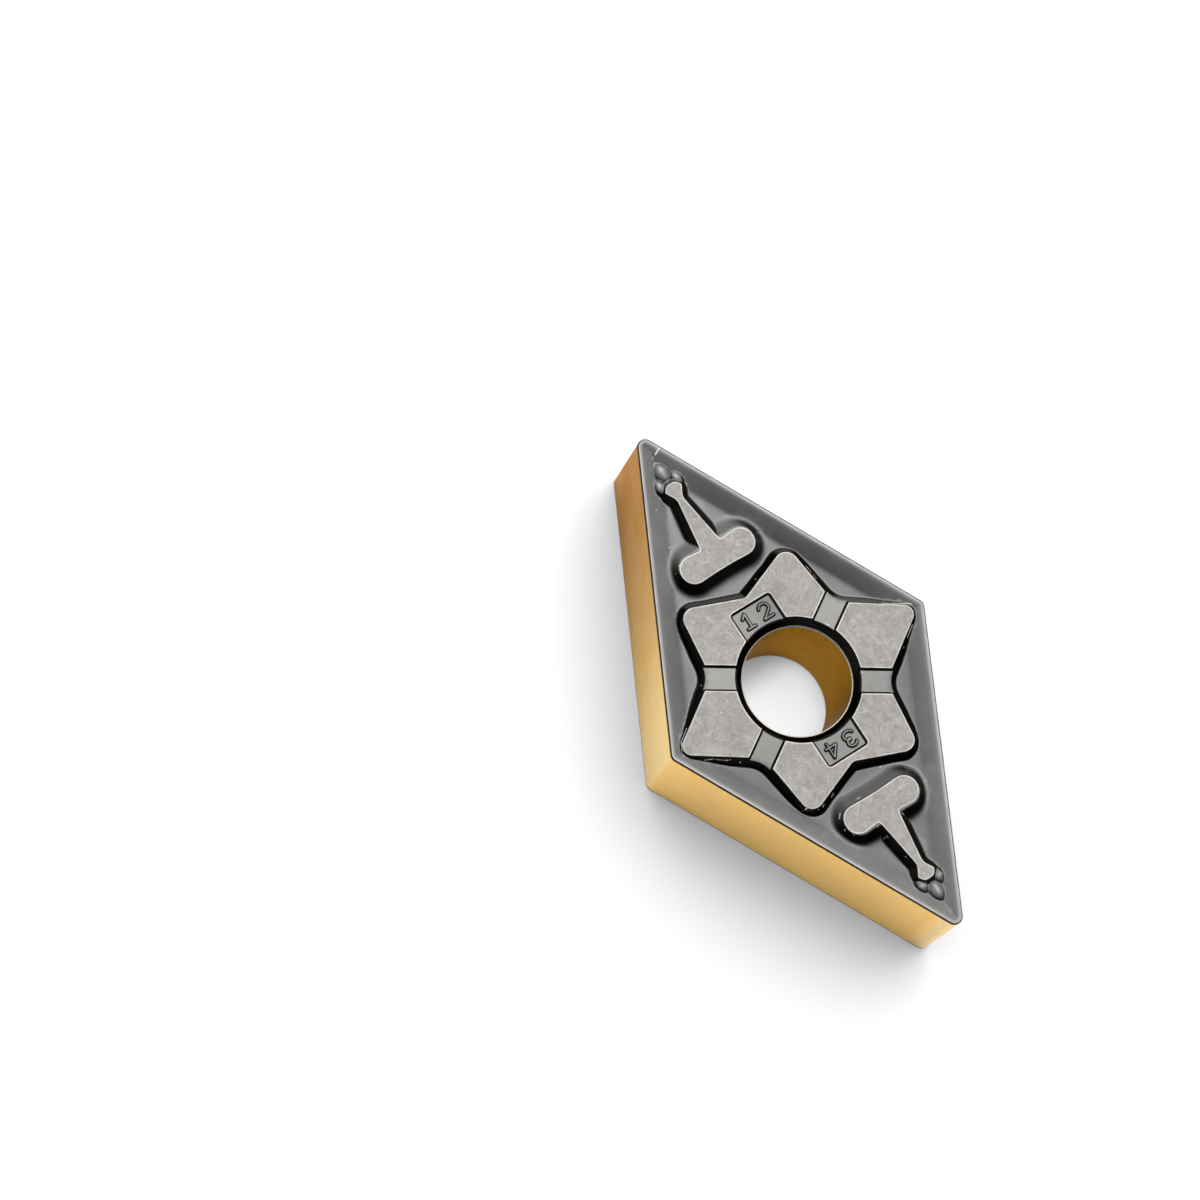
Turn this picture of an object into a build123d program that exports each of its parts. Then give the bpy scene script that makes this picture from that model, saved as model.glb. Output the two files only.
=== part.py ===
from build123d import *
import math
import os

# A double-sided 55 degree rhombic turning insert, one pressed and sintered body.
# Millimetres. X runs along the long diagonal, Y along the short one, +Z is up.
# The origin is the middle of the bottom, on the plane that the lower lands rest on.

# ---- driving dimensions ----
IC = 12.70              # inscribed circle
POINT_ANGLE = 55.0      # angle of the two cutting corners, degrees
THICKNESS = 6.35        # from the lower seating plane to the upper one
NOSE_R = 0.40           # corner radius, all four corners
EDGE_DROP = 0.05        # the cutting edges lie this far below the seating plane
HONE_R = 0.04           # honed radius along the cutting edges

LAND_W = 0.20           # flat land behind the cutting edge
RAKE_IN = 1.10          # distance from the edge to the foot of the rake face
GROOVE_DEPTH = 0.33     # groove floor below the cutting edges

BORE_D = 5.16           # clamping hole
BORE_MOUTH_D = 5.94     # its countersunk mouth, at the seating plane
BORE_MOUTH_DEPTH = 0.45
BORE_CONE_END_D = 5.24  # the cone stops here, just before the bore

STAR_WALL_RUN = 0.34    # how far the star's sloped wall runs out at its foot
T_WALL_RUN = 0.50       # the same for the T-shaped chip formers
CHANNEL_ANGLE = 58.0    # direction of the radial channels from the X axis
CHANNEL_W = 1.20
CHANNEL_DEPTH = 0.12
CHANNEL_REACH = 4.95    # past the star's notch
PAD_X = 4.18            # outer end of the label recess
PAD_HALF_W = 1.12
PAD_DEPTH = 0.11
PAD_R = 0.18

TIP_BUMP = (11.55, 0.50, 0.39, 0.27)            # centre x, half length, half width, height above the groove floor
SIDE_BUMP = (10.98, 0.49, 0.30, 0.28)           # centre x, centre y, radius, height

# Outline of the star: corner points of one quarter with their radii, from the
# short diagonal round to the long one. The rest is mirrored.
STAR_QUARTER = [
    ((0.0, 6.842), 0.45),       # petal tip on the short diagonal
    ((2.217, 3.480), 1.45),     # notch where a channel runs out
    ((5.658, 3.062), 0.59),     # rounded corner of the side petal
    ((4.500, 0.0), 0.46),       # waist on the long diagonal
]
# Outline of the T: corner points of its upper half, from the back round to the nose side.
T_HALF = [
    ((6.215, 0.0), 20.0),       # slightly hollow back
    ((6.120, 2.02), 0.685),
    ((7.600, 2.02), 0.685),
    ((7.470, 0.56), 0.16),      # root of the stem
    ((10.03, 0.17), 0.50),      # neck
    ((10.56, 0.48), 0.12),      # knob
    ((10.85, 0.24), 0.28),
]

half = THICKNESS / 2
edge_z = half - EDGE_DROP
floor_z = edge_z - GROOVE_DEPTH
eps = math.radians(POINT_ANGLE)
side = IC / math.sin(eps)
long_half = side * math.cos(eps / 2)
short_half = side * math.sin(eps / 2)


def rhombus(inset):
    """The four corners of the plan outline, moved in by inset."""
    a = long_half - inset / math.sin(eps / 2)
    b = short_half - inset / math.cos(eps / 2)
    return [(a, 0), (0, b), (-a, 0), (0, -b)]


def offset_points(points, by):
    """The corners of a polygon, given anticlockwise, with each side moved outwards."""
    moved = []
    n = len(points)
    for i in range(n):
        p, q, r = points[i - 1], points[i], points[(i + 1) % n]
        d1 = (q[0] - p[0], q[1] - p[1])
        d2 = (r[0] - q[0], r[1] - q[1])
        l1, l2 = math.hypot(*d1), math.hypot(*d2)
        n1 = (d1[1] / l1, -d1[0] / l1)
        n2 = (d2[1] / l2, -d2[0] / l2)
        k = by / (1 + n1[0] * n2[0] + n1[1] * n2[1])
        moved.append((q[0] + k * (n1[0] + n2[0]), q[1] + k * (n1[1] + n2[1])))
    return moved


def turn(points, i):
    """Positive at a convex corner of an anticlockwise polygon."""
    p, q, r = points[i - 1], points[i], points[(i + 1) % len(points)]
    return (q[0] - p[0]) * (r[1] - q[1]) - (q[1] - p[1]) * (r[0] - q[0])


def rounded(points, radii, z):
    """A closed wire of straight sides and tangent arcs."""
    n = len(points)
    ins, mids, outs = [], [], []
    for i in range(n):
        p, q, r = points[i - 1], points[i], points[(i + 1) % n]
        a = Vector(p[0] - q[0], p[1] - q[1]).normalized()
        b = Vector(r[0] - q[0], r[1] - q[1]).normalized()
        h = math.acos(max(-1, min(1, a.dot(b)))) / 2
        t = radii[i] / math.tan(h)
        c = Vector(*q)
        w = (a + b).normalized()
        ins.append(c + a * t)
        outs.append(c + b * t)
        mids.append(c + w * (radii[i] / math.sin(h) - radii[i]))
    up = Vector(0, 0, z)
    edges = []
    for i in range(n):
        edges.append(ThreePointArc(ins[i] + up, mids[i] + up, outs[i] + up))
        edges.append(Line(outs[i] + up, ins[(i + 1) % n] + up))
    return Wire(edges)


def frustum(low, high):
    """A solid between two matching closed wires, with straight walls."""
    return Solid.make_loft([low, high], ruled=True)


def drafted(points, radii, run, z_top, z_foot):
    """An island: its outline at the top, and walls that slope out to the foot.
    It is carried on below the foot at the same slope, so that it joins the floor."""
    deeper = 0.05
    out = run * (1 + deeper / (z_top - z_foot))
    low = offset_points(points, out)
    low_r = [max(0.06, r + (out if turn(points, i) > 0 else -out)) for i, r in enumerate(radii)]
    return frustum(rounded(low, low_r, z_foot - deeper), rounded(points, radii, z_top))


def star_outline():
    q = STAR_QUARTER
    first = [p for p in reversed(q)]                                  # x > 0, from the X axis up to the Y axis
    left = [((-x, y), r) for (x, y), r in q[1:]]                      # over to the -X axis
    low_left = [((-x, -y), r) for (x, y), r in reversed(q[:-1])]
    low_right = [((x, -y), r) for (x, y), r in q[1:-1]]
    both = first + left + low_left + low_right
    return [p for p, _ in both], [r for _, r in both]


def t_outline(sign):
    h = T_HALF
    lower = [((x, -y), r) for (x, y), r in h[1:]]
    upper = [((x, y), r) for (x, y), r in reversed(h[1:])]
    both = [h[0]] + lower + upper                                     # anticlockwise for +X
    if sign < 0:
        both = [((-x, y), r) for (x, y), r in reversed(both)]
    return [p for p, _ in both], [r for _, r in both]


# ---- blank: a rhombic prism with nose radii and honed edges ----
corners = rhombus(0)
blank = extrude(Face(rounded(corners, [NOSE_R] * 4, -edge_z)), amount=2 * edge_z, dir=(0, 0, 1))
rims = blank.edges().filter_by(lambda e: abs(abs(e.center().Z) - edge_z) < 1e-6)
blank = fillet(rims, HONE_R)

# ---- chip groove of one face: from the land down the rake face to the flat floor ----
above = 0.3
nose_left = NOSE_R - LAND_W
groove = frustum(
    rounded(rhombus(RAKE_IN), [0.03] * 4, floor_z),
    rounded(rhombus(LAND_W), [nose_left] * 4, edge_z),
)
groove += extrude(Face(rounded(rhombus(LAND_W), [nose_left] * 4, edge_z)), amount=above, dir=(0, 0, 1))

# ---- what stands in the groove: the star round the bore, two T-shaped formers, bumps ----
pts, rad = star_outline()
star = drafted(pts, rad, STAR_WALL_RUN, half, floor_z)
islands = [star]
for sign in (1, -1):
    pts, rad = t_outline(sign)
    islands.append(drafted(pts, rad, T_WALL_RUN, half, floor_z))
    x, a, b, c = TIP_BUMP
    dome = scale(Sphere(1), by=(a * 1.12, b * 1.12, c * 1.12))
    islands.append(Pos(sign * x, 0, floor_z - 0.12 * c) * dome)
    x, y, a, c = SIDE_BUMP
    for s in (1, -1):
        dome = scale(Sphere(1), by=(a * 1.1, a * 1.1, c * 1.1))
        islands.append(Pos(sign * x, s * y, floor_z - 0.1 * c) * dome)

# ---- what is cut into the star: four radial channels and two label recesses ----
cuts = []
for k in (CHANNEL_ANGLE, 180 - CHANNEL_ANGLE, 180 + CHANNEL_ANGLE, -CHANNEL_ANGLE):
    channel = Box(CHANNEL_REACH, CHANNEL_W, 0.5, align=(Align.MIN, Align.CENTER, Align.MIN))
    cuts.append(Rot(0, 0, k) * (Pos(0, 0, half - CHANNEL_DEPTH) * channel))
pad = extrude(
    Pos(0, 0, half - PAD_DEPTH) * RectangleRounded(2 * PAD_X, 2 * PAD_HALF_W, PAD_R), amount=0.5, dir=(0, 0, 1)
)
cuts.append(pad)

# ---- both faces ----
body = blank
for flip in (False, True):
    def face(s):
        return mirror(s, about=Plane.XY) if flip else s
    body = body - face(groove)
    for s in islands:
        body = body + face(s)
    for s in cuts:
        body = body - face(s)

# ---- bore with a countersunk mouth at each end ----
mouth_z = half - BORE_MOUTH_DEPTH
bore = revolve(
    Plane.XZ
    * make_face(
        Polyline(
            (0, -half),
            (BORE_MOUTH_D / 2, -half),
            (BORE_CONE_END_D / 2, -mouth_z),
            (BORE_D / 2, -mouth_z + 0.04),
            (BORE_D / 2, mouth_z - 0.04),
            (BORE_CONE_END_D / 2, mouth_z),
            (BORE_MOUTH_D / 2, half),
            (0, half),
            close=True,
        )
    ),
    axis=Axis.Z,
)
body = body - bore

insert = Pos(0, 0, half) * body
solids = insert.solids()
insert = max(solids, key=lambda s: s.volume)
insert.label = "insert"
print("solids", len(solids), "volume mm3", round(insert.volume, 3), "valid", insert.is_valid)
box = insert.bounding_box()
print("box", box.min, box.max, "faces", len(insert.faces()))

os.makedirs("parts", exist_ok=True)
export_step(insert, "parts/insert.step")
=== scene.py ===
import math

import bpy
import numpy as np
from mathutils import Matrix, Vector
from mathutils.geometry import delaunay_2d_cdt
from mathutils.kdtree import KDTree


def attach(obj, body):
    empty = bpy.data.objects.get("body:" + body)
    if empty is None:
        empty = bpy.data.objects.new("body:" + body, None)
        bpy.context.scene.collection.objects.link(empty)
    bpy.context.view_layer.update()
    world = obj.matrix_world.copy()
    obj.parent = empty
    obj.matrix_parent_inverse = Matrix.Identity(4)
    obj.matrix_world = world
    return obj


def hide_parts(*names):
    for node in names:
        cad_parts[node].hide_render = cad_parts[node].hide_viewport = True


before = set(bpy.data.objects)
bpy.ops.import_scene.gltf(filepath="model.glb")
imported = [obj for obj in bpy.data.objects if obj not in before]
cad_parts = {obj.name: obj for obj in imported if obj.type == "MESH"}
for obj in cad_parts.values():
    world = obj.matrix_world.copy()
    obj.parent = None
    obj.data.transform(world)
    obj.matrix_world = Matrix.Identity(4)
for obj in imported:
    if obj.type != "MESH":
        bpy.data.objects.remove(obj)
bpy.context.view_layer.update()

# ---------------------------------------------------------------- dimensions, mm
IC, POINT = 12.70, math.radians(55.0)
THICK = 6.35
EDGE_DROP = 0.05            # cutting edges below the seating plane
HALF = THICK / 2 - EDGE_DROP  # height of the cutting edge above mid-thickness
NOSE_R, HONE = 0.40, 0.040
LAND, RAKE_IN, RAKE_Z, FLOOR = 0.20, 1.10, 0.30, 0.355
TOP = EDGE_DROP             # island tops, above the cutting edge
BORE_R, LIP_R, MOUTH_R, MOUTH_DEPTH = 2.58, 2.625, 2.97, 0.42
CH_ANGLE, CH_HALF, CH_Z = math.radians(58.0), 0.60, TOP - 0.12
PAD_X, PAD_Y, PAD_R, PAD_Z = 4.18, 1.12, 0.18, TOP - 0.11

SIN, COS = math.sin(POINT / 2), math.cos(POINT / 2)
SIDE = IC / math.sin(POINT)
LONG, SHORT = SIDE * COS, SIDE * SIN
NOSE_X = LONG - NOSE_R / SIN        # centre of the acute nose
NOSE_Y = SHORT - NOSE_R / COS       # centre of the obtuse corner's radius

# Corner points with radii. The first and last of each list only give the
# direction in which the line goes on past the axis.
STAR = [
    ((5.658, -3.062), 0), ((4.500, 0.0), 0.40), ((5.658, 3.062), 0.59),
    ((2.217, 3.480), 1.45), ((0.0, 6.842), 0.45), ((-2.217, 3.480), 0),
]
TEE = [
    ((6.120, -2.02), 0), ((6.215, 0.0), 20.0), ((6.120, 2.00), 0.675), ((7.595, 2.00), 0.675),
    ((7.440, 0.55), 0.13), ((10.03, 0.165), 0.55), ((10.56, 0.475), 0.12), ((10.85, 0.24), 0.28),
    ((10.85, -0.24), 0),
]


# ---------------------------------------------------------------- outlines
def chain(corners, side, by=0.0, step=0.08, fine=0.07, ends_on_arcs=(True, True)):
    """The first-quadrant stretch of a rounded outline, moved outwards by `by`."""
    pts = np.array([c[0] for c in corners], float)
    rad = [c[1] for c in corners]
    n = len(pts)
    d = pts[1:] - pts[:-1]
    d /= np.linalg.norm(d, axis=1)[:, None]
    nor = side * np.stack([d[:, 1], -d[:, 0]], 1)
    out = []
    q = pts.copy()
    for i in range(1, n - 1):
        n1, n2 = nor[i - 1], nor[i]
        q[i] = pts[i] + by * (n1 + n2) / (1 + n1 @ n2)
    for i in range(1, n - 1):
        n1, n2 = nor[i - 1], nor[i]
        turn = side * (d[i - 1][0] * d[i][1] - d[i - 1][1] * d[i][0])
        r = max(rad[i] + (by if turn > 0 else -by), 0.012)
        ang = math.acos(max(-1.0, min(1.0, float(d[i - 1] @ d[i]))))
        t = r * math.tan(ang / 2)
        c = q[i] - (n1 + n2) / (1 + n1 @ n2) * r * (1 if turn > 0 else -1)
        a0 = q[i] - d[i - 1] * t
        m = max(2, 2 * math.ceil(r * ang / min(fine, max(0.02, r * 0.35)) / 2))
        v0 = a0 - c
        s = 1 if turn * side > 0 else -1
        arc = []
        for k in range(m + 1):
            w = s * ang * k / m
            arc.append(c + np.array([v0[0] * math.cos(w) - v0[1] * math.sin(w), v0[0] * math.sin(w) + v0[1] * math.cos(w)]))
        if i == 1 and ends_on_arcs[0]:
            arc = arc[m // 2:]
            arc[0][1] = 0.0
        if i == n - 2 and ends_on_arcs[1]:
            arc = arc[: m // 2 + 1]
            arc[-1][0] = 0.0
        if out:
            a, b = out[-1], arc[0]
            k = max(1, math.ceil(np.linalg.norm(b - a) / step))
            for j in range(1, k):
                out.append(a + (b - a) * j / k)
        out += arc
    if not ends_on_arcs[1]:
        a = out[-1]
        b = np.array([a[0], 0.0])
        k = max(1, math.ceil(abs(a[1]) / step))
        for j in range(1, k + 1):
            out.append(a + (b - a) * j / k)
    keep = [out[0]]
    for p in out[1:]:
        if np.linalg.norm(p - keep[-1]) > 1e-4:
            keep.append(p)
    return np.array(keep)


def star_chain(by=0.0, step=0.08, fine=0.07):
    return chain(STAR, 1, by, step, fine)


def tee_chain(by=0.0, step=0.08, fine=0.06):
    return chain(TEE, -1, by, step, fine, (True, False))


STAR_LINE = star_chain(step=0.3, fine=0.02)
TEE_LINE = tee_chain(step=0.3, fine=0.02)


def to_line(P, line):
    best = np.full(len(P), 1e9)
    A, B = line[:-1], line[1:]
    D = B - A
    L = (D * D).sum(1)
    for i in range(len(A)):
        w = P - A[i]
        t = np.clip((w @ D[i]) / L[i], 0, 1)
        e = w - t[:, None] * D[i]
        best = np.minimum(best, (e * e).sum(1))
    return np.sqrt(best)


def within(P, poly):
    inside = np.zeros(len(P), bool)
    x, y = P[:, 0] + 1e-7, P[:, 1] + 1e-7
    for (x1, y1), (x2, y2) in zip(poly, np.roll(poly, -1, 0)):
        if y1 == y2:
            continue
        hit = (y1 > y) != (y2 > y)
        inside ^= hit & (x < (x2 - x1) * (y - y1) / (y2 - y1) + x1)
    return inside


HEAD_LINE = chain(TEE[:4] + [((7.595, -2.00), 0)], -1, 0.0, 0.3, 0.02, (True, False))
STEM_LINE = np.vstack([[(6.70, 0.66)], TEE_LINE[(TEE_LINE[:, 0] > 7.62) & (TEE_LINE[:, 1] < 0.60)]])
HEAD_POLY = np.vstack([HEAD_LINE, [(HEAD_LINE[-1][0], -1), (HEAD_LINE[0][0], -1)]])
STEM_POLY = np.vstack([STEM_LINE, [(STEM_LINE[-1][0], -1), (STEM_LINE[0][0], -1)]])
STAR_POLY = np.vstack([[(-1, -1), (STAR_LINE[0][0], -1)], STAR_LINE, [(-1, STAR_LINE[-1][1])]])
TEE_POLY = np.vstack([TEE_LINE, [(TEE_LINE[-1][0], -1), (TEE_LINE[0][0], -1)]])


def s_star(Q):
    s = to_line(Q, STAR_LINE)
    return np.where(within(Q, STAR_POLY), -s, s)


def s_tee(Q):
    s = to_line(Q, TEE_LINE)
    return np.where(within(Q, TEE_POLY), -s, s)


def s_head(Q):
    s = to_line(Q, HEAD_LINE)
    return np.where(within(Q, HEAD_POLY), -s, s)


def s_stem(Q):
    s = to_line(Q, STEM_LINE)
    return np.where(within(Q, STEM_POLY), -s, s)


def d_edge(Q):
    """Distance in from the cutting edge."""
    d = IC / 2 - (Q[:, 0] * SIN + Q[:, 1] * COS)
    a = Q - (NOSE_X, 0)
    b = Q - (0, NOSE_Y)
    d = np.where(a[:, 0] * COS - a[:, 1] * SIN > 0, NOSE_R - np.hypot(a[:, 0], a[:, 1]), d)
    return np.where(-b[:, 0] * COS + b[:, 1] * SIN > 0, NOSE_R - np.hypot(b[:, 0], b[:, 1]), d)


def s_pad(Q):
    q = Q - (PAD_X - PAD_R, PAD_Y - PAD_R)
    return np.hypot(np.maximum(q[:, 0], 0), np.maximum(q[:, 1], 0)) + np.minimum(np.maximum(q[:, 0], q[:, 1]), 0) - PAD_R


def s_channel(Q):
    along = Q[:, 0] * math.cos(CH_ANGLE) + Q[:, 1] * math.sin(CH_ANGLE)
    across = np.abs(-Q[:, 0] * math.sin(CH_ANGLE) + Q[:, 1] * math.cos(CH_ANGLE))
    return np.maximum(across - CH_HALF, along - 5.2)


# ---------------------------------------------------------------- numerals in the recesses
# Plain figures, each a few strokes in a box 0.62 wide and 0.70 high.
def arc_pts(cx, cy, rx, ry, a0, a1, n=14):
    return [(cx + rx * math.cos(math.radians(a0 + (a1 - a0) * k / n)), cy + ry * math.sin(math.radians(a0 + (a1 - a0) * k / n))) for k in range(n + 1)]


GLYPHS = {
    "1": [[(0.13, 0.50), (0.31, 0.66), (0.31, 0.04)], [(0.13, 0.04), (0.49, 0.04)]],
    "2": [arc_pts(0.29, 0.46, 0.22, 0.20, 165, -35) + [(0.08, 0.04), (0.52, 0.04)]],
    "3": [arc_pts(0.27, 0.49, 0.20, 0.17, 160, -85) + arc_pts(0.27, 0.20, 0.24, 0.18, 85, -155)],
    "4": [[(0.40, 0.04), (0.40, 0.66), (0.05, 0.22), (0.54, 0.22)]],
}


def figure_strokes():
    """Stroke segments in face coordinates: 12 on the -X side, 34 on the +X side.
    Both are read with the insert's long diagonal upright."""
    segs = []
    for sign, text in ((-1, "12"), (1, "34")):
        for k, ch in enumerate(text):
            for stroke in GLYPHS[ch]:
                p = []
                for u, v in stroke:
                    a = (u - 0.30) * 1.12 + (k - 0.5) * 0.98   # reading direction
                    b = (v - 0.35) * 1.14                 # up
                    # reading direction is +Y on the -X pad and -Y on the +X pad
                    p.append((sign * 3.535 + sign * b * 1.0, -sign * a))
                segs += list(zip(p[:-1], p[1:]))
    return np.array(segs)


STROKES = figure_strokes()


def s_figures(P):
    best = np.full(len(P), 1e9)
    near = (np.abs(np.abs(P[:, 0]) - 3.53) < 0.75) & (np.abs(P[:, 1]) < 1.2)
    if near.any():
        R = P[near]
        b = np.full(len(R), 1e9)
        for (ax, ay), (bx, by) in STROKES:
            D = np.array([bx - ax, by - ay])
            w = R - (ax, ay)
            t = np.clip((w @ D) / (D @ D), 0, 1)
            e = w - t[:, None] * D
            b = np.minimum(b, (e * e).sum(1))
        best[near] = np.sqrt(b)
    return best - 0.060


# ---------------------------------------------------------------- the face as a height over the cutting edge
def smax(a, b, k):
    h = np.clip(0.5 + 0.5 * (a - b) / k, 0, 1)
    return b + (a - b) * h + k * h * (1 - h)


def smin(a, b, k):
    return -smax(-a, -b, k)


def step01(x, a, b):
    t = np.clip((x - a) / (b - a), 0, 1)
    return t * t * (3 - 2 * t)


def dome(Q, x, y, a, b, height, base):
    e = 1 - ((Q[:, 0] - x) / a) ** 2 - ((Q[:, 1] - y) / b) ** 2
    return np.where(e > 0, base + height * np.sqrt(np.maximum(e, 0)), base + e * 0.5)


def groove(d):
    """Land, rake face that steepens a little inwards, and a floor with a slight fall."""
    u = np.clip((d - LAND) / (RAKE_IN - LAND), -0.3, 1.5)
    z = smin(0 * d, -RAKE_Z * (0.92 * u + 0.08 * u * np.abs(u)), 0.035)
    z = smax(z, -RAKE_Z - (d - RAKE_IN) * 0.10, 0.03)
    return smax(z, -FLOOR + 0 * d, 0.04)


def star_wall(Q, s):
    return TOP - (s + 0.015) * (1.04 + 0.16 * step01(Q[:, 0], 4.6, 5.3))


def tee_wall(Q, s):
    """The head has long easy slopes, the stem steeper ones; they meet in a valley."""
    head = TOP - (s_head(Q) + 0.015) * (0.64 + 0.06 * step01(Q[:, 1], 1.2, 2.2))
    stem = TOP - (s_stem(Q) + 0.015) * 1.0
    both = smax(head, stem, 0.10)
    return np.where(s < 0.05, np.maximum(both, TOP - (s + 0.015) * 1.0), both)


def bumps(Q):
    """Three rounded bumps at the nose end of the T: one long, two beside it."""
    x, y = Q[:, 0], Q[:, 1]
    w = 0.47 - 0.20 * np.clip((x - 11.50) / 0.55, 0, 1) ** 2
    a = np.where(x > 11.50, (x - 11.50) / 0.60, (11.50 - x) / 0.60)
    e = 1 - np.abs(a) ** 2.2 - (y / w) ** 2
    long = np.where(e > 0, -0.36 + 0.33 * np.sqrt(np.maximum(e, 0)), -0.36 + e * 0.3)
    u = (x - 10.94) * 0.97 - (y - 0.48) * 0.25
    v = (x - 10.94) * 0.25 + (y - 0.48) * 0.97
    e2 = 1 - (u / 0.49) ** 2 - (v / 0.345) ** 2
    side = np.where(e2 > 0, -0.36 + 0.34 * np.sqrt(np.maximum(e2, 0)), -0.36 + e2 * 0.3)
    return long, side, e, e2


def height(P):
    Q = np.abs(P)
    d, ss, st = d_edge(Q), s_star(Q), s_tee(Q)
    r = np.hypot(Q[:, 0], Q[:, 1])
    z = groove(d)
    e = np.clip(HONE - d, 0, HONE)
    z = z - (HONE - np.sqrt(np.maximum(HONE * HONE - e * e, 0)))
    z = smax(z, smin(TOP + 0 * d, star_wall(Q, ss), 0.025), 0.08)
    near_tip = step01(Q[:, 0], 9.0, 10.4)
    tee = smin(TOP + 0 * d, tee_wall(Q, st), 0.025)
    z = np.where(near_tip > 0.5, smax(z, tee, 0.07), smax(z, tee, 0.15 - 0.16 * near_tip))
    long, side, _, _ = bumps(Q)
    z = smax(z, side, 0.05)
    z = smax(z, long, 0.06)
    z = smin(z, smax(CH_Z + 0 * d, TOP + s_channel(Q) * 1.4, 0.02), 0.02)
    pad = smax(PAD_Z + 0 * d, TOP + s_pad(Q) * 1.3, 0.02)
    sf = s_figures(P)
    pad = smax(pad, np.where(sf < 0.3, PAD_Z + 0.065 - np.maximum(sf + 0.025, 0) * 1.3, -1), 0.03)
    z = smin(z, pad, 0.02)
    lip = TOP - MOUTH_DEPTH
    cone = np.where(r > LIP_R, TOP - (MOUTH_R - r) * MOUTH_DEPTH / (MOUTH_R - LIP_R), lip - (LIP_R - r) * 0.35)
    return smin(z, cone, 0.02)


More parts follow.
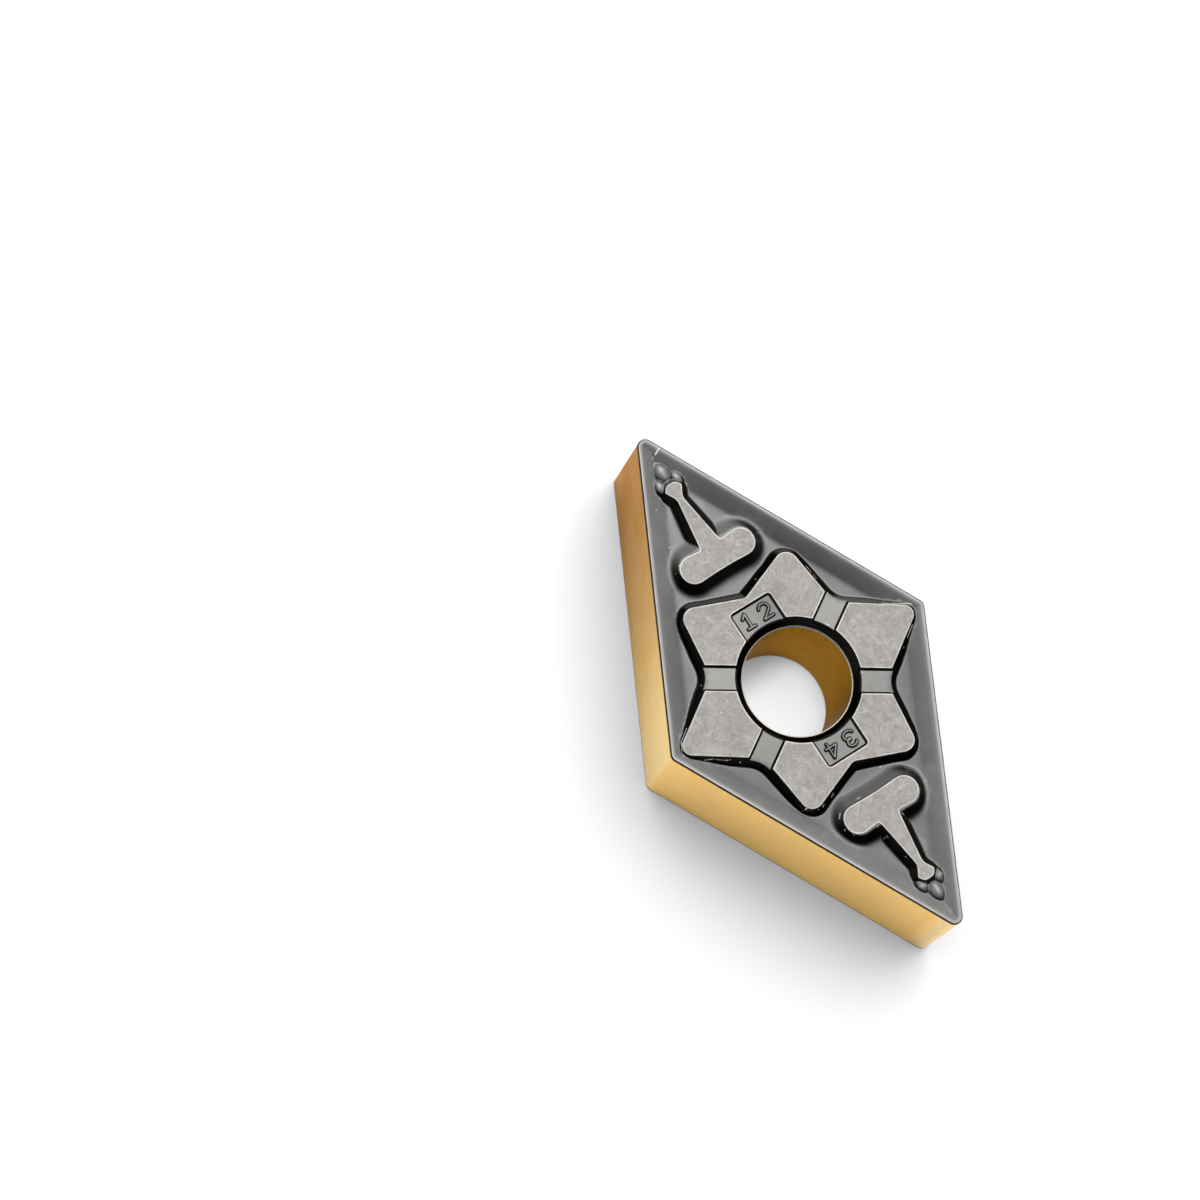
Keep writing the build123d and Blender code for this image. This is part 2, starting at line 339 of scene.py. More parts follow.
def marks(P, N):
    """What the material reads: distance to the rim of the ground tops (inside is negative), distance from the cutting
    edge, radius, a painted shade mask for the steep walls (darker by how steep they are and which way they face), the
    smooth recess floors, painted highlights on the crests of the bumps, a painted highlight along the foot of the walls
    and bumps, and a painted shading tone over the face."""
    Q = np.abs(P)
    r = np.hypot(Q[:, 0], Q[:, 1])
    ss, st = s_star(Q), s_tee(Q)
    star = np.maximum.reduce([ss, -s_channel(Q), -s_pad(Q), MOUTH_R - r])
    steep = np.hypot(N[:, 0], N[:, 1]) / np.maximum(N[:, 2], 0.05)
    across = np.abs(N[:, 1]) / np.maximum(np.hypot(N[:, 0], N[:, 1]), 1e-6)
    to_x = N[:, 0] / np.maximum(np.hypot(N[:, 0], N[:, 1]), 1e-6)
    # painted shade: steep walls are made near black by how steep they are and which way they face, lighter where they
    # face the light; on the -X side the dark band reaches past the foot
    wall = np.where(st < ss, step01(steep, 0.30, 0.66) * (0.31 + 0.60 * np.maximum(across, step01(to_x, 0.0, 0.6))), step01(steep, 0.26, 0.56))
    shade = step01(steep, 0.25, 0.95) * np.maximum(step01(to_x, -0.1, 0.7), 0.8 * step01(-N[:, 1], 0.10, 0.60))
    shade = np.where(P[:, 0] < 0, 0.6 * shade, 0.75 * shade) * step01(d_edge(Q), 0.25, 0.45)
    wall = np.where(Q[:, 0] > 10.98, shade, np.maximum(wall * step01(Q[:, 0], 10.98, 10.84), shade * step01(Q[:, 0], 10.6, 10.9)))
    flat = np.maximum(np.hypot(N[:, 0], N[:, 1]), 1e-6)
    drop = star_wall(Q, ss) - groove(d_edge(Q))
    near_star = (ss > 0.0) & (ss < 0.52) & (st > 0.05)
    reach = np.where(P[:, 0] < 0, 0.065 * step01(-P[:, 1], 2.7, 3.1) * step01(Q[:, 1], 5.3, 4.5), 0.030 * step01(P[:, 1], 0.0, 1.0))
    clear = step01(st, 0.55, 0.75) * step01(ss, 0.22, 0.30)
    wall = np.maximum(wall, clear * step01(drop + reach, -0.014, 0.010) * (reach > 0.005) * (drop > -0.11) * near_star)
    lit = step01((-0.89 * N[:, 0] + 0.456 * N[:, 1]) / flat, 0.76, 0.93) * np.where(P[:, 1] > 3.3, 1.0, 0.72) * near_star
    wall = wall * (1 - lit * (1 - 0.85 * np.exp(-((drop - 0.035) / 0.040) ** 2)))
    smooth = ((ss < 0.03) & (np.minimum(s_channel(Q), s_pad(Q)) < 0.02)).astype(float)
    _, _, e, e2 = bumps(Q)
    # painted shade: dark rings round the bumps at the -X end
    far_end = step01(-P[:, 0], 10.7, 10.9)
    ring = step01(e, 0.05, 0.16) * step01(e, 0.72, 0.30) * step01(Q[:, 1], 0.10, 0.22)
    ring2 = step01(e2, 0.05, 0.16) * step01(e2, 0.60, 0.25) * (e < 0.0)
    wall = np.maximum(wall, far_end * np.maximum(0.62 * ring, 0.45 * ring2))
    # painted highlights: a streak along the long bump, strokes on the side bumps and brighter spots at the -X end
    streak = step01(np.abs(P[:, 1] - 0.05), 0.11, 0.01) * step01(Q[:, 0], 11.05, 11.25) * step01(Q[:, 0], 11.8, 11.55)
    stroke = step01(np.abs(Q[:, 0] - 10.95 + 0.25 * (Q[:, 1] - 0.48)), 0.12, 0.0) * step01(e2, 0.15, 0.50)
    crest_highlight = np.maximum(streak, 0.8 * stroke)
    spot = np.maximum(np.exp(-(((Q[:, 0] - 11.64) / 0.16) ** 2 + ((P[:, 1] - 0.03) / 0.10) ** 2)), 0.9 * np.exp(-(((Q[:, 0] - 11.05) / 0.16) ** 2 + ((Q[:, 1] - 0.46) / 0.10) ** 2)))
    crest_highlight = np.where(P[:, 0] < 0, np.maximum(0.5 * crest_highlight, 1.4 * spot), crest_highlight)
    # the figures stand out by dark outlines, painted shade that is darker on the sides facing +X and -Y, and the recess
    # on the -X side is painted in half shade
    sf = s_figures(P)
    figure = step01(sf, -0.035, 0.005) * step01(sf, 0.075, 0.035) * (s_pad(Q) < -0.05)
    wall = np.maximum(wall, figure * (0.40 + 0.35 * step01(to_x - N[:, 1] / flat, -0.3, 0.9)))
    half_shade = np.where((P[:, 0] < 0) & (s_pad(Q) < 0.02) & (ss < 0), 0.14 + 0.24 * step01(P[:, 1], -0.9, 1.0), 0.0)
    # painted highlight along the rounded foot of the walls and bumps, and painted shading that changes slowly along the
    # floor
    d = d_edge(Q)
    long, side, _, _ = bumps(Q)
    z = groove(d)
    rise = np.maximum.reduce([tee_wall(Q, st), side, long])
    foot = np.where(P[:, 0] < -10.6, 1.40 * np.exp(-(((rise - z) + 0.038) / 0.040) ** 2), np.exp(-(((rise - z) + 0.035) / 0.035) ** 2))
    # painted highlight: a light outline round the bumps at the -X end
    outline = np.exp(-(((rise - z) + 0.038) / 0.040) ** 2) * step01(-P[:, 0], 10.2, 10.6)
    crest_highlight = np.maximum(crest_highlight, 0.75 * outline)
    foot = np.maximum(foot, 0.6 * np.exp(-((drop + reach + 0.05) / 0.05) ** 2))
    foot = foot * step01(d, 0.45, 0.75) * (0.5 + 0.5 * step01(N[:, 1], -0.05, 0.15))
    floor = step01(d, 1.00, 1.14)
    x = P[:, 0]
    shade_tone = 1 + floor * (np.interp(x, (-9, -3, 3, 9), (1.30, 1.14, 0.82, 0.88)) - 1)
    shade_tone = shade_tone * (1 - 0.20 * (1 - floor) * step01(-x, 0.5, 4.0) * step01(P[:, 1], 0.3, 1.6))
    shade_tone = shade_tone * (1 - half_shade)
    return {"foot": foot, "shade_tone": shade_tone, "rim": np.minimum(star, st), "edge": d_edge(Q), "rad": r, "wall": wall, "recess": smooth, "crest_highlight": crest_highlight}


# ---------------------------------------------------------------- lines and points that the mesh follows
def runs(line, keep):
    """Stretches of a line where keep holds."""
    out, cur = [], []
    for p, k in zip(line, keep):
        if k:
            cur.append(p)
        else:
            if len(cur) > 1:
                out.append(np.array(cur))
            cur = []
    if len(cur) > 1:
        out.append(np.array(cur))
    return out


def edge_chain(inset, step=0.10):
    """The outline moved in, in the first quadrant, from the nose to the obtuse corner."""
    rr = NOSE_R - inset
    out = []
    if rr > 0.01:
        m = max(5, math.ceil(rr * math.radians(62.5) / 0.045))
        for k in range(m + 1):
            a = math.radians(62.5) * k / m
            out.append((NOSE_X + rr * math.cos(a), rr * math.sin(a)))
    else:
        out.append((LONG - inset / SIN, 0.0))
    if rr > 0.01:
        m = max(4, math.ceil(rr * math.radians(27.5) / 0.045))
        tail = [(rr * math.cos(math.radians(62.5 + 27.5 * k / m)), NOSE_Y + rr * math.sin(math.radians(62.5 + 27.5 * k / m))) for k in range(m + 1)]
        tail[-1] = (0.0, tail[-1][1])
    else:
        tail = [(0.0, SHORT - inset / COS)]
    a, b = np.array(out[-1]), np.array(tail[0])
    k = math.ceil(np.linalg.norm(b - a) / step)
    out += [tuple(a + (b - a) * j / k) for j in range(1, k)]
    return np.array(out + tail)


def build_lines():
    lines = []
    zr = lambda Q: groove(d_edge(Q))
    zs = lambda Q: star_wall(Q, s_star(Q))
    zt = lambda Q: tee_wall(Q, s_tee(Q))
    for inset in (0.0, 0.004, 0.012, 0.024, 0.040, 0.10, 0.155, 0.19, 0.22, 0.26, 0.40, 0.60, 0.80, 0.95, 1.04, 1.10, 1.17):
        L = edge_chain(inset)
        if inset < 0.05:
            keep = np.ones(len(L), bool)
        else:
            z = zr(L)
            keep = (zs(L) < z + 0.07) & (zt(L) < z + 0.09)
        lines += runs(L, keep)
    for by in (-0.10, -0.05, -0.030, -0.014, 0.0, 0.014, 0.030, 0.06, 0.12, 0.18, 0.24, 0.285, 0.325, 0.365, 0.405, 0.435, 0.465, 0.50):
        L = star_chain(by)
        r = np.hypot(L[:, 0], L[:, 1])
        if by < 0.05:
            keep = (s_channel(L) > 0.10 - max(by, 0) * 0) & (s_pad(L) > 0.02)
        else:
            z = star_wall(L, by)
            keep = (zr(L) < z + (0.10 if by < 0.43 else 0.17)) & (zt(L) < z + (0.12 if by < 0.43 else 0.17))
            if by < 0.2:
                keep |= s_channel(L) < 0.1
        lines += runs(L, keep)
    for by in (-0.10, -0.05, -0.030, -0.014, 0.0, 0.014, 0.030, 0.07, 0.14, 0.21, 0.28, 0.35, 0.42, 0.50, 0.58, 0.66, 0.74):
        L = tee_chain(by)
        if by > 0.05:
            z = tee_wall(L, by)
            keep = (zr(L) < z + 0.13) & (zs(L) < z + 0.10) & (L[:, 0] < 10.50)
        else:
            keep = np.ones(len(L), bool)
        lines += runs(L, keep)
    e = np.array([math.cos(CH_ANGLE), math.sin(CH_ANGLE)])
    f = np.array([-e[1], e[0]])
    for side in (-1, 1):
        for v in (CH_HALF + 0.08, CH_HALF + 0.03, CH_HALF + 0.012, CH_HALF, CH_HALF - 0.015, CH_HALF - 0.045, CH_HALF - 0.07, CH_HALF - 0.088, CH_HALF - 0.12):
            L = np.array([e * u + f * v * side for u in np.arange(2.96, 4.75, 0.07)])
            r = np.hypot(L[:, 0], L[:, 1])
            lines += runs(L, (s_star(L) < (-0.02 if v >= CH_HALF else 0.09)) & (r > 2.9))
    L = np.array([e * u for u in np.arange(2.96, 4.6, 0.09)])
    lines += runs(L, s_star(L) < 0.12)
    n = 68
    for r in (BORE_R, 2.60, LIP_R, LIP_R + 0.012, 2.66, 2.74, 2.82, 2.87, 2.91, 2.94, 2.962, 2.978, 3.0, 3.04):
        L = np.array([(r * math.cos(math.pi / 2 * k / n), r * math.sin(math.pi / 2 * k / n)) for k in range(n + 1)])
        L[0][1] = 0.0
        L[-1][0] = 0.0
        lines += [L]
    # rounded-rectangle recess for the numerals
    for by in (0.08, 0.03, 0.012, 0.0, -0.015, -0.04, -0.065, -0.085, -0.11):
        rr = max(0.02, PAD_R + by)
        cx, cy = PAD_X - PAD_R, PAD_Y - PAD_R
        m = 6
        L = [(PAD_X + by, y) for y in np.linspace(0, cy, 16)]
        L += [(cx + rr * math.cos(math.pi / 2 * k / m), cy + rr * math.sin(math.pi / 2 * k / m)) for k in range(1, m + 1)]
        L += [(x, PAD_Y + by) for x in np.linspace(cx, 2.6, 24)[1:]]
        L = np.array(L)
        r = np.hypot(L[:, 0], L[:, 1])
        lines += runs(L, (r > 2.9) & (s_star(L) < -0.02))
    lines += [np.array([(x, 0.0) for x in np.arange(12.06, 13.24, 0.06)]), np.array([(0.0, y) for y in np.arange(6.70, 7.09, 0.05)])]
    return lines


def spread_points(lines):
    """Loose points that fill the open areas, the bumps and the recesses."""
    tree = KDTree(sum(len(l) for l in lines))
    i = 0
    for l in lines:
        for p in l:
            tree.insert((p[0], p[1], 0), i)
            i += 1
    tree.balance()
    out = []

    def fill(x0, x1, y0, y1, h, clear, test):
        rows = int((y1 - y0) / (h * 0.866)) + 1
        for j in range(rows):
            y = y0 + j * h * 0.866
            for i in range(int((x1 - x0) / h) + 1):
                x = x0 + i * h + (h / 2 if j % 2 else 0)
                if test(x, y) and tree.find((x, y, 0))[2] > clear:
                    out.append((x, y))

    inside = lambda x, y, m=0.06: IC / 2 - (x * SIN + y * COS) > m and x < 13.1 and x * x + y * y > 3.05 ** 2
    bump = lambda x, y: 10.45 < x < 12.25 and 0 <= y < 1.02 - 0.45 * max(0, x - 10.9)
    pad = lambda x, y: x < 4.2 and y < 1.05
    fill(0.11, 13.5, 0.11, 7.2, 0.23, 0.085, lambda x, y: inside(x, y) and not bump(x, y) and not pad(x, y))
    fill(10.45, 12.25, 0.0, 1.02, 0.045, 0.024, lambda x, y: bump(x, y) and inside(x, y))
    return np.array(out)


def pad_points():
    """A close even grid inside each recess, not mirrored, so that it carries the figures."""
    out = []
    h = 0.031
    for sign in (-1, 1):
        for j in range(-40, 41):
            for i in range(0, 60):
                x = 2.9 + i * h + (h / 2 if j % 2 else 0)
                y = j * h * 0.9
                if x < PAD_X - 0.13 and abs(y) < PAD_Y - 0.13 and math.hypot(x, y) > 3.06:
                    out.append((sign * x, y))
    return np.array(out)


def face_mesh():
    """Points (mm) and triangles of one face."""
    lines = build_lines()
    loose = spread_points(lines)
    verts, edges = [], []
    seen = {}

    def put(x, y):
        key = (round(x * 1e5), round(y * 1e5))
        if key not in seen:
            seen[key] = len(verts)
            verts.append((key[0] / 1e5, key[1] / 1e5))
        return seen[key]

    for sx, sy in ((1, 1), (-1, 1), (-1, -1), (1, -1)):
        for l in lines:
            ids = [put(sx * p[0], sy * p[1]) for p in l]
            edges += [(a, b) for a, b in zip(ids[:-1], ids[1:]) if a != b]
        for p in loose:
            put(sx * p[0], sy * p[1])
    for p in pad_points():
        put(*p)
    edges = list({tuple(sorted(e)) for e in edges})
    v, _, tris, *_ = delaunay_2d_cdt([Vector(p) for p in verts], edges, [], 0, 1e-5, False)
    V = np.array([(p[0], p[1]) for p in v])
    T = np.array([t for t in tris], int)
    c = V[T].mean(1)
    keep = np.hypot(c[:, 0], c[:, 1]) > BORE_R + 1e-3
    keep &= d_edge(np.abs(c)) > 4e-4
    a, b, cc = V[T[:, 0]], V[T[:, 1]], V[T[:, 2]]
    area = (b[:, 0] - a[:, 0]) * (cc[:, 1] - a[:, 1]) - (b[:, 1] - a[:, 1]) * (cc[:, 0] - a[:, 0])
    keep &= np.abs(area) > 1e-9
    T = np.where((area < 0)[:, None], T[:, ::-1], T)[keep]
    used = np.unique(T)
    at = np.full(len(V), -1)
    at[used] = np.arange(len(used))
    return V[used], at[T]


def boundary_loops(T):
    """Closed loops of boundary vertices."""
    count = {}
    for t in T:
        for a, b in ((t[0], t[1]), (t[1], t[2]), (t[2], t[0])):
            count[(a, b)] = count.get((a, b), 0) + 1
    nxt = {a: b for a, b in count if (b, a) not in count}
    loops = []
    while nxt:
        start, b = next(iter(nxt.items()))
        loop = [start]
        del nxt[start]
        while b != start:
            loop.append(b)
            b = nxt.pop(b)
        loops.append(loop)
    return loops


def build_insert():
    V, T = face_mesh()
    n = len(V)
    z = height(V)
    h = 0.003
    gx = (height(V + (h, 0)) - height(V - (h, 0))) / (2 * h)
    gy = (height(V + (0, h)) - height(V - (0, h))) / (2 * h)
    N = np.stack([-gx, -gy, np.ones(n)], 1)
    N /= np.linalg.norm(N, axis=1)[:, None]
    mk = marks(V, N)
    loops = sorted(boundary_loops(T), key=lambda l: np.hypot(V[l, 0], V[l, 1]).mean())
    print("face", n, "points", len(T), "triangles; loops", [len(l) for l in loops])
    inner, outer = loops[0], loops[-1]
    # outward direction on the outline
    Q = np.abs(V[outer])
    a, b = Q - (NOSE_X, 0), Q - (0, NOSE_Y)
    nrm = np.tile([SIN, COS], (len(Q), 1))
    on_a = a[:, 0] * COS - a[:, 1] * SIN > 0
    on_b = -b[:, 0] * COS + b[:, 1] * SIN > 0
    nrm[on_a] = a[on_a] / np.linalg.norm(a[on_a], axis=1)[:, None]
    nrm[on_b] = b[on_b] / np.linalg.norm(b[on_b], axis=1)[:, None]
    sg = np.where(V[outer] < 0, -1.0, 1.0)
    out_n = nrm * sg
    N[outer] = np.c_[out_n, np.zeros(len(outer))]
    z_out = HALF - HONE
    z = z + HALF
    z[outer] = z_out
    z_in = float(np.mean(z[inner]))
    z[inner] = z_in

    verts = [np.c_[V, z], np.c_[V[:, 0], -V[:, 1], -z]]
    normals = [N, N * (1, -1, -1)]
    att = {k: [v, v] for k, v in mk.items()}
    faces = [T, T + n]
    mats = [np.zeros(len(T), int), np.zeros(len(T), int)]
    base = 2 * n

    def wall(loop, levels, nor, mat):
        nonlocal base
        m = len(loop)
        lut = {(round(x * 1e4), round(y * 1e4)): i for i, (x, y) in zip(loop, V[loop])}
        low = [n + lut[(round(x * 1e4), round(-y * 1e4))] for x, y in V[loop]]
        rows = [np.array(loop)]
        for lv in levels:
            verts.append(np.c_[V[loop], np.full(m, lv)])
            normals.append(np.c_[nor, np.zeros(m)])
            for k in att:
                att[k].append({"rim": np.full(m, 1.0), "rad": np.hypot(*V[loop].T)}.get(k, np.full(m, 1.0 if k == "shade_tone" else 0.0)))
            rows.append(np.arange(base, base + m))
            base += m
        rows.append(np.array(low))
        for up, dn in zip(rows[:-1], rows[1:]):
            u2, d2 = np.roll(up, -1), np.roll(dn, -1)
            q = np.r_[np.c_[up, dn, d2], np.c_[up, d2, u2]]
            faces.append(q)
            mats.append(np.full(len(q), mat))

    wall(outer, (z_out - 0.05, 2.7, 1.4, 0.0, -1.4, -2.7, -z_out + 0.05), out_n, 1)
    r_in = V[inner] / np.linalg.norm(V[inner], axis=1)[:, None]
    wall(inner, (z_in - 0.04, 1.4, 0.0, -1.4, -z_in + 0.04), -r_in, 2)
    VV = np.vstack(verts)
    FF = np.vstack(faces)
    NN = np.vstack(normals)
    MM = np.concatenate(mats)
    VV[:, 2] += THICK / 2
    me = bpy.data.meshes.new("insert_body")
    me.from_pydata((VV * 0.001).tolist(), [], FF.tolist())
    me.update()
    me.polygons.foreach_set("use_smooth", np.ones(len(FF), bool))
    me.polygons.foreach_set("material_index", MM.astype(np.int32))
    for k, parts in att.items():
        layer = me.attributes.new(k, "FLOAT", "POINT")
        layer.data.foreach_set("value", np.concatenate(parts).astype(np.float32))
    me.normals_split_custom_set_from_vertices(NN.tolist())
    bad = 0
    count = {}
    for t in FF:
        for a, b in ((t[0], t[1]), (t[1], t[2]), (t[2], t[0])):
            k = (min(a, b), max(a, b))
            count[k] = count.get(k, 0) + 1
    bad = sum(c != 2 for c in count.values())
    print("insert mesh", len(VV), "points", len(FF), "triangles, edges not shared by two faces:", bad)
    ob = bpy.data.objects.new("insert_body", me)
    bpy.context.scene.collection.objects.link(ob)
    return ob


# ---------------------------------------------------------------- materials
class Nodes:
    def __init__(self, name):
        self.mat = bpy.data.materials.new(name)
        self.mat.use_nodes = True
        self.t = self.mat.node_tree
        self.p = self.t.nodes["Principled BSDF"]

    def new(self, kind, **props):
        n = self.t.nodes.new(kind)
        for k, v in props.items():
            setattr(n, k, v)
        return n

    def put(self, socket, value):
        if isinstance(value, bpy.types.NodeSocket):
            self.t.links.new(value, socket)
        elif value is not None:
            socket.default_value = value

    def attr(self, name):
        return self.new("ShaderNodeAttribute", attribute_type="GEOMETRY", attribute_name=name).outputs["Fac"]

    def math(self, op, a, b=None, clamp=False):
        n = self.new("ShaderNodeMath", operation=op, use_clamp=clamp)
        self.put(n.inputs[0], a)
        self.put(n.inputs[1], b)
        return n.outputs[0]

    def range(self, v, lo, hi, a=0.0, b=1.0, kind="SMOOTHSTEP"):
        n = self.new("ShaderNodeMapRange", interpolation_type=kind)
        self.put(n.inputs["Value"], v)
        for k, x in (("From Min", lo), ("From Max", hi), ("To Min", a), ("To Max", b)):
            n.inputs[k].default_value = x
        return n.outputs["Result"]

    def where(self):
        return self.new("ShaderNodeTexCoord").outputs["Object"]

    def scaled(self, sx, sy, sz, rot=(0, 0, 0)):
        n = self.new("ShaderNodeMapping", vector_type="TEXTURE")
        self.put(n.inputs["Vector"], self.where())
        n.inputs["Rotation"].default_value = rot
        n.inputs["Scale"].default_value = (1 / sx, 1 / sy, 1 / sz)
        return n.outputs[0]

    def noise(self, scale, detail=3.0, rough=0.55, vector=None, distort=0.0):
        n = self.new("ShaderNodeTexNoise")
        self.put(n.inputs["Vector"], vector if vector is not None else self.where())
        n.inputs["Scale"].default_value = scale
        n.inputs["Detail"].default_value = detail
        n.inputs["Roughness"].default_value = rough
        n.inputs["Distortion"].default_value = distort
        return n.outputs["Fac"]

    def web(self, scale, bend, width):
        """Short fine scratches that run every way: the borders of warped cells, here and there."""
        v = self.new("ShaderNodeTexVoronoi", feature="DISTANCE_TO_EDGE")
        v.inputs["Scale"].default_value = scale
        warp = self.new("ShaderNodeTexNoise")
        self.put(warp.inputs["Vector"], self.where())
        warp.inputs["Scale"].default_value = scale * 0.8
        warp.inputs["Detail"].default_value = 2.0
        shift = self.new("ShaderNodeVectorMath", operation="SCALE")
        self.put(shift.inputs[0], warp.outputs["Color"])
        shift.inputs["Scale"].default_value = bend / scale
        at = self.new("ShaderNodeVectorMath", operation="ADD")
        self.put(at.inputs[0], self.where())
        self.put(at.inputs[1], shift.outputs[0])
        self.put(v.inputs["Vector"], at.outputs[0])
        line = self.range(v.outputs["Distance"], width, width * 0.3)
        return self.math("MULTIPLY", line, self.range(self.noise(scale * 1.3, 2, 0.5), 0.50, 0.66))

    def scaled_colour(self, colour, factor):
        n = self.new("ShaderNodeVectorMath", operation="SCALE")
        self.put(n.inputs[0], colour)
        self.put(n.inputs["Scale"], factor)
        return n.outputs[0]

    def mix(self, f, a, b):
        n = self.new("ShaderNodeMix", data_type="RGBA")
        self.put(n.inputs[0], f)
        self.put(n.inputs[6], a if isinstance(a, bpy.types.NodeSocket) else (*a, 1))
        self.put(n.inputs[7], b if isinstance(b, bpy.types.NodeSocket) else (*b, 1))
        return n.outputs[2]

    def mixf(self, f, a, b):
        n = self.new("ShaderNodeMix", data_type="FLOAT")
        self.put(n.inputs[0], f)
        self.put(n.inputs[2], a)
        self.put(n.inputs[3], b)
        return n.outputs[0]

    def bump(self, h, strength, distance):
        n = self.new("ShaderNodeBump")
        self.put(n.inputs["Height"], h)
        n.inputs["Strength"].default_value = strength
        n.inputs["Distance"].default_value = distance
        self.t.links.new(n.outputs[0], self.p.inputs["Normal"])
        return n


def face_material():
    m = Nodes("coated_face")
    rim, edge, rad = m.attr("rim"), m.attr("edge"), m.attr("rad")
    wall, recess, crest_highlight = m.attr("wall"), m.attr("recess"), m.attr("crest_highlight")
    foot, shade_tone = m.attr("foot"), m.attr("shade_tone")
    pos = m.new("ShaderNodeSeparateXYZ")
    m.t.links.new(m.where(), pos.inputs[0])
    # uneven border of the ground tops
    fine = m.noise(9000, 3)
    wob = m.math("MULTIPLY", m.math("SUBTRACT", fine, 0.5), 0.014)
    rim_w = m.math("ADD", rim, wob)
    ground = m.range(rim_w, -0.004, -0.020)
    worn = m.range(m.noise(1300, 3), 0.30, 0.62, 0.45, 1.0)
    bright = m.math("MULTIPLY", m.math("MULTIPLY", m.range(rim_w, -0.078, -0.046), m.range(rim_w, 0.004, -0.012)), worn)
    # ground tops: warm light grey, mottled, with fine scratches and pits
    blot = m.noise(900, 4, 0.6, distort=0.9)
    blot2 = m.noise(3200, 4, 0.65, distort=0.5)
    tint = m.noise(560, 3, 0.5)
    scr = m.math("MULTIPLY", m.noise(1.0, 2, 0.5, vector=m.scaled(15000, 1500, 3000, (0, 0, 0.9))), m.range(tint, 0.40, 0.60, 0.80, 1.06))
    scr2 = m.noise(1.0, 2, 0.5, vector=m.scaled(1700, 16000, 3000, (0, 0, 0.35)))
    scr3 = m.math("MULTIPLY", m.noise(1.0, 2, 0.5, vector=m.scaled(14000, 1800, 3000, (0, 0, -0.55))), m.range(blot, 0.40, 0.60, 1.06, 0.80))
    pit = m.noise(8200, 2, 0.5)
    web = m.web(1250, 1.1, 0.034)
    web2 = m.web(2100, 0.9, 0.045)
    grit = m.noise(7000, 3, 0.65)
    top = m.mix(m.range(blot, 0.36, 0.66), (0.184, 0.175, 0.164), (0.230, 0.220, 0.207))
    top = m.mix(m.math("MULTIPLY", m.range(tint, 0.42, 0.68), 0.50), top, (0.222, 0.203, 0.180))
    top = m.mix(m.math("MULTIPLY", m.range(blot2, 0.45, 0.75), 0.50), top, (0.158, 0.149, 0.140))
    top = m.mix(m.range(grit, 0.48, 0.72, 0.0, 0.45), top, (0.145, 0.136, 0.127))
    top = m.mix(m.range(grit, 0.46, 0.30, 0.0, 0.35), top, (0.30, 0.29, 0.275))
    top = m.mix(m.math("MULTIPLY", web, 0.38), top, (0.36, 0.35, 0.33))
    top = m.mix(m.math("MULTIPLY", web2, 0.46), top, (0.110, 0.103, 0.095))
    top = m.mix(m.math("MULTIPLY", m.range(scr, 0.62, 0.70), 0.30), top, (0.36, 0.35, 0.335))
    top = m.mix(m.math("MULTIPLY", m.range(scr3, 0.63, 0.71), 0.30), top, (0.34, 0.33, 0.315))
    top = m.mix(m.math("MULTIPLY", m.range(scr2, 0.64, 0.72), 0.30), top, (0.115, 0.110, 0.105))
    top = m.mix(m.math("MULTIPLY", m.range(pit, 0.63, 0.71), 0.52), top, (0.10, 0.094, 0.086))
    # dark coat in the groove and on the walls, with painted shade, painted highlights and a painted shading tone laid
    # over it
    coat_n = m.noise(1500, 4, 0.6)
    soft = m.noise(420, 3, 0.5)
    coat = m.mix(m.range(coat_n, 0.35, 0.7), (0.101, 0.099, 0.0975), (0.117, 0.115, 0.113))
    coat = m.mix(m.math("MULTIPLY", m.range(soft, 0.45, 0.70), 0.6), coat, (0.090, 0.0885, 0.087))
    coat = m.mix(m.math("MULTIPLY", recess, m.range(blot2, 0.2, 0.8, 1.0, 0.75)), coat, (0.168, 0.162, 0.154))
    # painted shading: the coat is scaled lighter towards -X and darker towards +X, darker on the slope at -X, +Y, and
    # in painted half shade in the -X recess
    coat = m.scaled_colour(coat, shade_tone)
    # painted highlight: a light line along the foot of the walls and bumps
    coat = m.mix(m.math("MULTIPLY", foot, 0.70), coat, (0.190, 0.187, 0.183))
    edge_w = m.math("ADD", edge, wob)
    land = m.range(edge_w, 0.235, 0.165)
    coat = m.mix(land, coat, (0.168, 0.164, 0.159))
    # a lighter line along the land: a worn edge with a painted highlight on it, painted weaker at the +X nose
    line = m.math("MULTIPLY", m.range(edge_w, 0.130, 0.105), m.math("MULTIPLY", m.range(edge_w, 0.064, 0.080), m.range(m.noise(1100, 3), 0.32, 0.60, 0.35, 1.0)))
    line = m.math("MULTIPLY", line, m.range(pos.outputs["X"], 0.0119, 0.0128, 1.0, 0.35))
    coat = m.mix(line, coat, (0.28, 0.275, 0.265))
    # painted highlight on the crests of the bumps and round the bumps at the -X end
    coat = m.mix(m.math("MULTIPLY", crest_highlight, 0.60), coat, (0.29, 0.284, 0.272))
    # painted shade: the steep walls and the rings round the bumps are made near black
    coat = m.mix(m.math("MULTIPLY", wall, 0.97), coat, (0.0065, 0.006, 0.0055))
    # painted shade: a dark line just outside the rim of the ground tops, on the walls and in the recesses
    painted_shade_and_glow = m.math("MULTIPLY", m.range(rim_w, 0.060, 0.034), m.range(rim_w, -0.004, 0.008))
    painted_shade_and_glow = m.math("MULTIPLY", painted_shade_and_glow, m.math("MAXIMUM", m.range(wall, 0.15, 0.32, 0.1, 1.0), recess))
    coat = m.mix(m.math("MULTIPLY", painted_shade_and_glow, 0.75), coat, (0.010, 0.009, 0.008))
    # painted shade: a dark line at the hone, stronger on the -Y side
    hone_shade = m.math("MULTIPLY", m.range(edge_w, 0.076, 0.056), m.range(pos.outputs["Y"], -0.0004, 0.0004, 1.0, 0.55))
    coat = m.mix(hone_shade, coat, (0.014, 0.012, 0.010))
